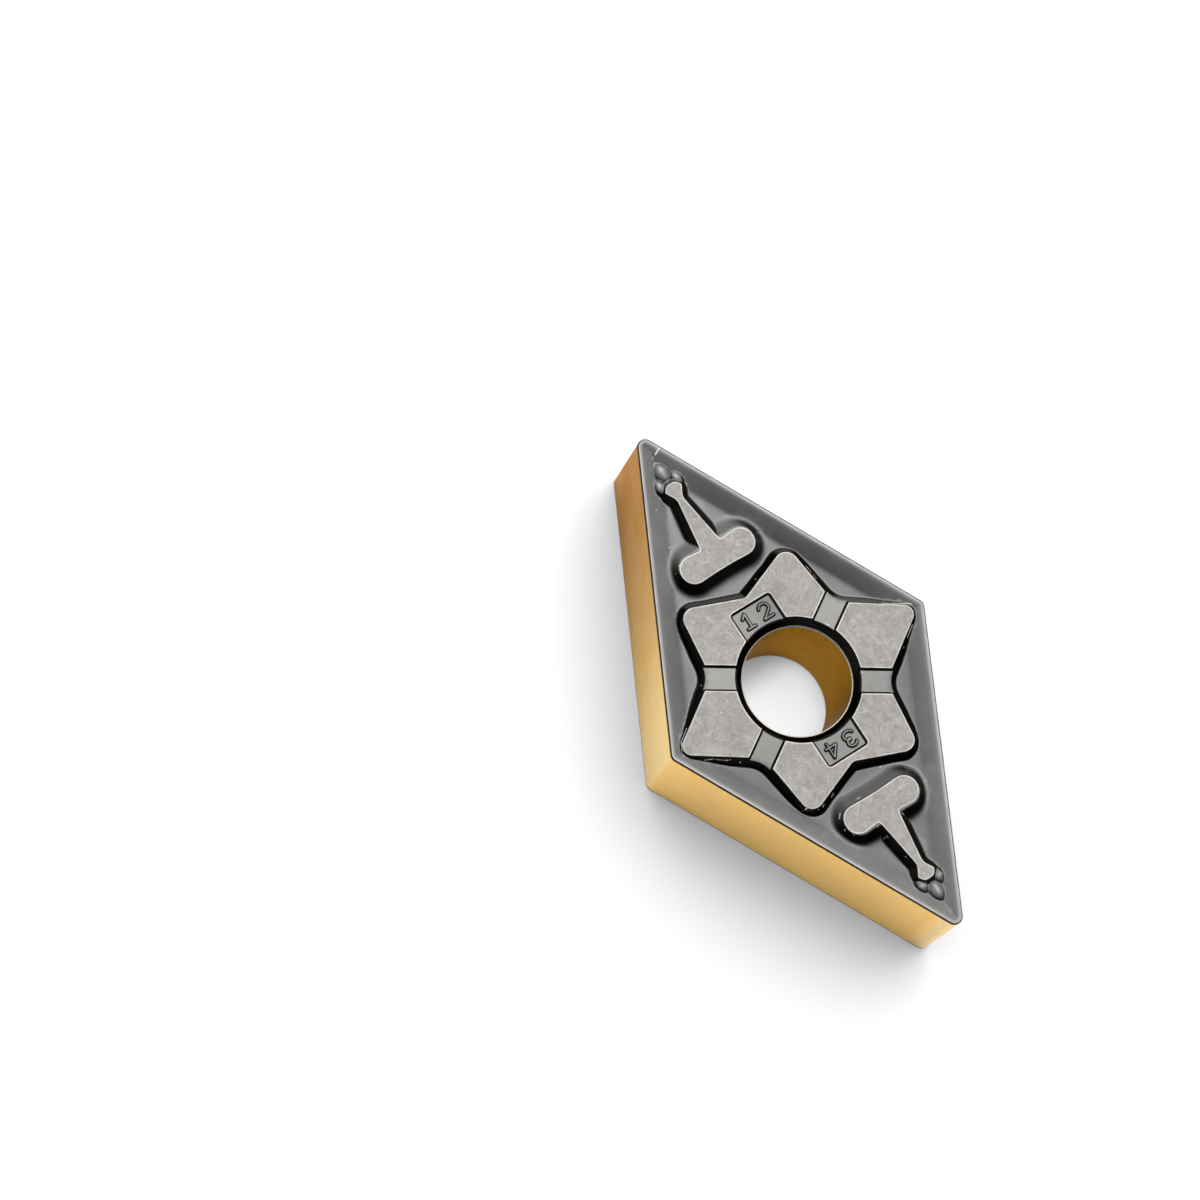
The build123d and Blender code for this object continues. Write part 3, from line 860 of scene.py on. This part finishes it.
    # small chips of the coat on the walls, in loose groups
    vor = m.new("ShaderNodeTexVoronoi")
    vor.inputs["Scale"].default_value = 5600
    m.t.links.new(m.where(), vor.inputs["Vector"])
    sep = m.new("ShaderNodeSeparateColor")
    m.t.links.new(vor.outputs["Color"], sep.inputs[0])
    chip = m.math("MULTIPLY", m.range(vor.outputs["Distance"], 0.30, 0.16), m.range(sep.outputs[0], 0.90, 0.92, kind="LINEAR"))
    group = m.range(m.noise(620, 2, 0.5), 0.54, 0.60)
    chip = m.math("MULTIPLY", m.math("MULTIPLY", chip, group), m.math("MULTIPLY", m.range(rim_w, 0.0, 0.02), m.range(rim_w, 0.42, 0.36)))
    chip = m.math("MULTIPLY", chip, m.range(rad, 2.99, 3.01))
    coat = m.mix(chip, coat, (0.62, 0.60, 0.57))
    # painted shade: the chamfer at the mouth of the bore is made near black
    mouth_shade = m.math("MULTIPLY", m.range(rad, 2.985, 2.965), m.range(rad, 2.628, 2.640))
    coat = m.mix(mouth_shade, coat, (0.006, 0.0055, 0.005))
    coat = m.scaled_colour(coat, 1.09)
    top = m.scaled_colour(top, 1.24)
    col = m.mix(ground, coat, top)
    col = m.mix(bright, col, (0.48, 0.47, 0.45))
    lip = m.math("MULTIPLY", m.range(rad, 2.652, 2.640), m.range(rad, 2.585, 2.592))
    col = m.mix(lip, col, (0.42, 0.40, 0.37))
    # marks of handling, chips and scuffs of the coat, and painted glints: start and end in mm, half width, colour,
    # strength
    fleck = chip
    for (ax, ay), (bx, by), w, shade, k in MARKS_AND_GLINTS:
        v = m.new("ShaderNodeCombineXYZ")
        m.t.links.new(pos.outputs["X"], v.inputs[0])
        m.t.links.new(pos.outputs["Y"], v.inputs[1])
        a, b = Vector((ax, ay, 0)) / 1000, Vector((bx, by, 0)) / 1000
        rel = m.new("ShaderNodeVectorMath", operation="SUBTRACT")
        m.t.links.new(v.outputs[0], rel.inputs[0])
        rel.inputs[1].default_value = a
        dot = m.new("ShaderNodeVectorMath", operation="DOT_PRODUCT")
        m.t.links.new(rel.outputs[0], dot.inputs[0])
        dot.inputs[1].default_value = (b - a) / max((b - a).length_squared, 1e-12)
        t = m.math("MULTIPLY", dot.outputs["Value"], 1.0, clamp=True)
        foot = m.new("ShaderNodeVectorMath", operation="SCALE")
        foot.inputs[0].default_value = b - a
        m.t.links.new(t, foot.inputs["Scale"])
        off = m.new("ShaderNodeVectorMath", operation="DISTANCE")
        m.t.links.new(rel.outputs[0], off.inputs[0])
        m.t.links.new(foot.outputs[0], off.inputs[1])
        near = m.math("ADD", off.outputs["Value"], m.math("MULTIPLY", m.math("SUBTRACT", fine, 0.5), w * 0.0016))
        hit = m.range(near, w / 1000, w / 2500, 0.0, k)
        hit = m.math("MULTIPLY", hit, m.math("GREATER_THAN", pos.outputs["Z"], 0.004))
        col = m.mix(hit, col, shade)
        fleck = m.math("MAXIMUM", fleck, hit)
    m.put(m.p.inputs["Base Color"], col)
    metal = m.mixf(ground, m.mixf(m.math("MAXIMUM", wall, mouth_shade), 0.60, 1.0), 0.40)
    m.put(m.p.inputs["Metallic"], m.mixf(fleck, metal, 0.15))
    ro = m.mixf(ground, m.range(coat_n, 0.3, 0.7, 0.20, 0.27), m.range(blot2, 0.3, 0.7, 0.34, 0.46))
    m.put(m.p.inputs["Roughness"], ro)
    hgt = m.math("ADD", m.math("MULTIPLY", m.noise(16000, 3), 0.5), m.math("MULTIPLY", m.math("SUBTRACT", m.math("ADD", m.math("ADD", scr, scr2), m.math("MULTIPLY", blot2, 1.6)), m.math("ADD", web, web2)), ground))
    m.bump(hgt, 0.40, 0.000005)
    m.p.inputs["Specular Tint"].default_value = (0.6, 0.6, 0.6, 1)
    return m.mat


LIGHT, DARK = (0.66, 0.64, 0.61), (0.09, 0.085, 0.08)
# chips and scuffs of the coat, and painted glints on the walls and edges
MARKS_AND_GLINTS = [
    ((-12.51, 0.46), (-12.38, 0.23), 0.052, LIGHT, 0.95),
    ((-12.34, 0.06), (-12.28, 0.01), 0.030, LIGHT, 0.5),
    ((-12.20, 0.10), (-12.12, 0.04), 0.045, DARK, 0.6),
    ((-13.05, 0.03), (-12.50, 0.00), 0.060, DARK, 0.30),
    ((12.06, 0.30), (12.47, 0.15), 0.060, DARK, 0.45),
    ((12.47, 0.15), (12.92, 0.06), 0.045, DARK, 0.60),
    ((-0.99, 5.41), (-0.78, 5.72), 0.028, LIGHT, 0.8),
    ((-0.74, 5.78), (-0.58, 6.04), 0.036, LIGHT, 0.9),
    ((-0.55, 6.10), (-0.36, 6.44), 0.042, LIGHT, 0.9),
    ((-0.33, 6.50), (-0.22, 6.62), 0.030, LIGHT, 0.75),
    ((-8.36, -1.62), (-8.34, -1.60), 0.040, LIGHT, 0.8),
    ((-10.16, -1.20), (-10.14, -1.20), 0.035, LIGHT, 0.45),
    ((6.72, 0.50), (6.66, 1.60), 0.022, LIGHT, 0.28),
    ((-6.95, 1.10), (-6.80, 1.62), 0.022, LIGHT, 0.28),
    ((-0.95, -3.40), (-0.60, -4.00), 0.020, LIGHT, 0.30),
    ((-0.61, -4.02), (-0.59, -3.99), 0.040, LIGHT, 0.6),
    ((0.98, 5.54), (0.60, 6.08), 0.034, LIGHT, 0.75),
    ((1.27, 5.15), (1.29, 5.11), 0.034, LIGHT, 0.5),
    ((-0.82, -5.74), (-0.40, -6.34), 0.024, LIGHT, 0.7),
    ((-0.40, -6.34), (0.02, -6.57), 0.022, LIGHT, 0.65),
    ((0.02, -6.57), (0.40, -6.46), 0.022, LIGHT, 0.5),
    ((0.84, -5.84), (1.00, -5.50), 0.024, LIGHT, 0.75),
    ((1.06, -5.42), (1.38, -4.98), 0.018, LIGHT, 0.45),
    ((1.37, -4.98), (1.40, -4.94), 0.032, LIGHT, 0.65),
    ((-4.30, 3.36), (-3.95, 3.40), 0.028, LIGHT, 0.8),
    ((-3.80, 3.42), (-3.55, 3.42), 0.022, LIGHT, 0.6),
    ((5.26, -1.58), (5.33, -1.74), 0.028, LIGHT, 0.75),
    ((5.44, -2.26), (5.50, -2.36), 0.032, LIGHT, 0.75),
    ((5.34, 1.06), (5.35, 1.10), 0.032, LIGHT, 0.45),
    ((-5.02, 0.95), (-5.00, 0.98), 0.034, LIGHT, 0.55),
    ((7.66, 0.62), (7.78, 0.66), 0.030, LIGHT, 0.6),
    ((8.18, -0.58), (8.26, -0.57), 0.032, LIGHT, 0.45),
    ((9.40, -0.37), (9.48, -0.37), 0.028, LIGHT, 0.4),
    ((6.16, -1.84), (6.36, -2.02), 0.022, LIGHT, 0.8),
    ((6.90, -2.10), (6.96, -2.12), 0.030, LIGHT, 0.7),
    ((7.28, -1.92), (7.36, -1.88), 0.028, LIGHT, 0.6),
    ((6.02, -0.62), (6.04, -0.80), 0.024, LIGHT, 0.6),
    ((7.58, -0.66), (7.62, -0.78), 0.022, LIGHT, 0.5),
    ((-1.55, 2.62), (-1.42, 2.68), 0.026, LIGHT, 0.7),
    ((4.85, 2.10), (5.05, 1.72), 0.018, DARK, 0.25),
    ((-3.10, -2.20), (-2.70, -2.90), 0.018, LIGHT, 0.20),
    ((1.20, -4.30), (1.55, -3.70), 0.018, DARK, 0.25),
]


def gold_material(name, base, deep, tint):
    m = Nodes(name)
    pos = m.new("ShaderNodeSeparateXYZ")
    m.t.links.new(m.where(), pos.inputs[0])
    z = pos.outputs["Z"]
    cloud = m.noise(420, 4, 0.6, distort=0.6)
    wide = m.noise(130, 2, 0.5)
    grain = m.noise(5200, 3, 0.6)
    streak = m.noise(1.0, 3, 0.6, vector=m.scaled(900, 900, 9000))
    calm = 0.35 if name.endswith("bore") else 1.0
    col = m.mix(m.range(cloud, 0.32, 0.72, 0.0, calm), base, deep)
    col = m.mix(m.range(wide, 0.36, 0.68, 0.0, 0.5), col, deep)
    col = m.mix(m.math("MULTIPLY", m.range(grain, 0.55, 0.8), 0.30), col, tuple(min(1, c * 1.12) for c in base))
    wob = m.math("MULTIPLY", m.math("SUBTRACT", m.noise(5000, 3), 0.5), 0.00003)
    mid = THICK / 2000
    up = m.math("ADD", m.math("ABSOLUTE", m.math("SUBTRACT", z, mid)), wob)
    if name.endswith("bore"):
        # painted shade: the bore is darker towards its +X side
        col = m.mix(m.range(pos.outputs["X"], 0.0008, 0.0026, 0.0, 0.80), col, (0.135, 0.096, 0.056))
    if name.endswith("flank"):
        tarnish = m.range(up, (HALF - 0.9) / 1000, (HALF - 0.1) / 1000, 0.0, 0.25)
        col = m.mix(tarnish, col, deep)
        # painted light: deeper, more saturated gold on the +X flanks, and a lighter peach stretch on the -X flanks near
        # the middle
        col = m.mix(m.range(pos.outputs["X"], -0.00015, 0.00020, 0.0, 0.65), col, (1.00, 0.66, 0.235))
        col = m.mix(m.math("MULTIPLY", m.range(pos.outputs["X"], 0.00015, -0.00010), m.range(pos.outputs["X"], -0.0060, -0.0005, 0.0, 0.6)), col, (1.00, 0.80, 0.46))
        # painted shade: the flanks darken to brown towards the -X end
        ends_shade = m.range(pos.outputs["X"], -0.0018, -0.0120, 0.0, 0.90, kind="LINEAR")
        col = m.mix(ends_shade, col, (0.29, 0.118, 0.006))
        col = m.mix(m.range(pos.outputs["X"], -0.0030, -0.0085, 0.0, 0.42), col, (0.48, 0.16, 0.0))
        col = m.mix(m.range(pos.outputs["X"], -0.0078, -0.0122, 0.0, 0.48), col, (0.30, 0.085, 0.0))
        # painted reflection: a faint orange band and then a pale band at the +X nose
        col = m.mix(m.math("MULTIPLY", m.range(pos.outputs["X"], 0.0117, 0.0123), m.range(pos.outputs["X"], 0.0127, 0.0123, 0.0, 0.16)), col, (0.72, 0.36, 0.10))
        col = m.mix(m.range(pos.outputs["X"], 0.0125, 0.0130, 0.0, 0.60), col, (0.80, 0.66, 0.50))
        # painted shade: a thin dark band along the top and bottom edges of the flanks
        dark = m.range(up, (HALF - 0.125) / 1000, (HALF - 0.095) / 1000)
        col = m.mix(dark, col, (0.020, 0.016, 0.012))
    m.put(m.p.inputs["Base Color"], col)
    m.p.inputs["Metallic"].default_value = 1.0
    m.put(m.p.inputs["Roughness"], m.range(cloud, 0.3, 0.75, 0.34, 0.44))
    m.bump(m.math("ADD", grain, m.math("MULTIPLY", streak, 0.6)), 0.30, 0.000005)
    m.p.inputs["Specular Tint"].default_value = (*tint, 1)
    return m.mat


def floor_material():
    m = Nodes("pale_floor")
    n = m.noise(60, 3)
    m.put(m.p.inputs["Base Color"], m.mix(n, (0.90, 0.90, 0.90), (0.92, 0.92, 0.92)))
    m.p.inputs["Roughness"].default_value = 0.75
    m.p.inputs["Specular IOR Level"].default_value = 0.15
    m.p.inputs["Emission Color"].default_value = (0.985, 0.99, 1, 1)
    far = m.new("ShaderNodeVectorMath", operation="LENGTH")
    m.t.links.new(m.where(), far.inputs[0])
    pos = m.new("ShaderNodeSeparateXYZ")
    m.t.links.new(m.where(), pos.inputs[0])
    # painted light: a soft brighter glow on the floor under the bore, weaker towards -X, on top of an even faint glow
    painted_shade_and_glow = m.math("MULTIPLY", m.range(far.outputs["Value"], 0.0042, 0.0018, 0.0, 0.50), m.range(pos.outputs["X"], -0.0026, -0.0006, 0.12, 1.0))
    m.put(m.p.inputs["Emission Strength"], m.math("ADD", painted_shade_and_glow, 0.12))
    return m.mat


insert = build_insert()
insert.data.materials.append(face_material())
insert.data.materials.append(gold_material("gold_flank", (1.00, 0.73, 0.340), (0.94, 0.62, 0.235), (1.00, 0.88, 0.62)))
insert.data.materials.append(gold_material("gold_bore", (0.41, 0.228, 0.082), (0.33, 0.178, 0.060), (0.60, 0.43, 0.25)))
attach(insert, "root")
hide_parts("insert")

# ---------------------------------------------------------------- floor
me = bpy.data.meshes.new("floor")
s = 1.5
me.from_pydata([(-s, -s, -0.00001), (s, -s, -0.00001), (s, s, -0.00001), (-s, s, -0.00001)], [], [(0, 1, 2, 3)])
floor = bpy.data.objects.new("floor", me)
bpy.context.scene.collection.objects.link(floor)
me.materials.append(floor_material())

# ---------------------------------------------------------------- camera, at the photograph's angle
right = Vector((0.5431333, 0.8219657, 0.1714021))
down = Vector((0.8309369, -0.4968547, -0.2503585))
ahead = Vector((-0.1206241, 0.2784024, -0.9528599))
place = Vector((15.96488, -60.95324, 188.53991 + THICK - EDGE_DROP)) * 0.001
cam = bpy.data.cameras.new("camera")
cam.sensor_width = 36.0
cam.lens = 4333.875 / 1200 * 36.0
cam.clip_start, cam.clip_end = 0.01, 20.0
camera = bpy.data.objects.new("camera", cam)
rot = Matrix((right, -down, -ahead)).transposed()
camera.matrix_world = Matrix.Translation(place) @ rot.to_4x4()
bpy.context.scene.collection.objects.link(camera)
bpy.context.scene.camera = camera


# ---------------------------------------------------------------- light
def lamp(name, direction, distance, size, power, colour=(1, 1, 1), size_y=None):
    data = bpy.data.lights.new(name, "AREA")
    data.shape = "RECTANGLE" if size_y else "DISK"
    data.size = size
    if size_y:
        data.size_y = size_y
    data.energy = power
    data.color = colour
    ob = bpy.data.objects.new(name, data)
    way = Vector(direction).normalized()
    ob.location = way * distance
    ob.rotation_euler = way.to_track_quat("Z", "Y").to_euler()
    bpy.context.scene.collection.objects.link(ob)
    return ob


lamp("softbox", (-0.30, 0.42, 0.86), 0.60, 0.50, 0.30)

# a studio with one large soft light, behind and overhead, and dark low down in front
world = bpy.data.worlds.new("studio")
world.use_nodes = True
wt = world.node_tree
bg = wt.nodes["Background"]
way = wt.nodes.new("ShaderNodeTexCoord").outputs["Generated"]


def glow(direction, lo, hi, level):
    d = wt.nodes.new("ShaderNodeVectorMath")
    d.operation = "DOT_PRODUCT"
    wt.links.new(way, d.inputs[0])
    d.inputs[1].default_value = Vector(direction).normalized()
    r = wt.nodes.new("ShaderNodeMapRange")
    r.interpolation_type = "SMOOTHSTEP"
    wt.links.new(d.outputs["Value"], r.inputs["Value"])
    for k, x in (("From Min", lo), ("From Max", hi), ("To Min", 0.0), ("To Max", level)):
        r.inputs[k].default_value = x
    return r.outputs["Result"]


def added(a, b):
    n = wt.nodes.new("ShaderNodeMath")
    n.operation = "ADD"
    for i, x in enumerate((a, b)):
        if isinstance(x, float):
            n.inputs[i].default_value = x
        else:
            wt.links.new(x, n.inputs[i])
    return n.outputs[0]


# a low white band in front, which only the flanks see
parts = wt.nodes.new("ShaderNodeSeparateXYZ")
wt.links.new(way, parts.inputs[0])
low = wt.nodes.new("ShaderNodeMapRange")
low.interpolation_type = "SMOOTHSTEP"
wt.links.new(parts.outputs["Z"], low.inputs["Value"])
for k, x in (("From Min", 0.26), ("From Max", 0.03), ("To Min", 0.0), ("To Max", 1.0)):
    low.inputs[k].default_value = x
band = wt.nodes.new("ShaderNodeMath")
band.operation = "MULTIPLY"
wt.links.new(low.outputs["Result"], band.inputs[0])
wt.links.new(glow((0.30, -0.95, 0.0), -0.1, 0.9, 2.8), band.inputs[1])

level = added(band.outputs[0], added(added(glow((-0.45, 0.45, 0.77), 0.12, 0.966, 2.0), glow((-0.16, 0.20, 0.97), 0.88, 0.98, 0.55)), 0.02))
path = wt.nodes.new("ShaderNodeLightPath")
pick = wt.nodes.new("ShaderNodeMix")
pick.data_type = "FLOAT"
wt.links.new(path.outputs["Is Camera Ray"], pick.inputs[0])
wt.links.new(level, pick.inputs[2])
pick.inputs[3].default_value = 0.9
wt.links.new(pick.outputs[0], bg.inputs["Strength"])
bg.inputs["Color"].default_value = (0.985, 0.992, 1.0, 1)
bpy.context.scene.world = world
bpy.context.scene.view_settings.view_transform = "Standard"
bpy.context.scene.cycles.caustics_reflective = False
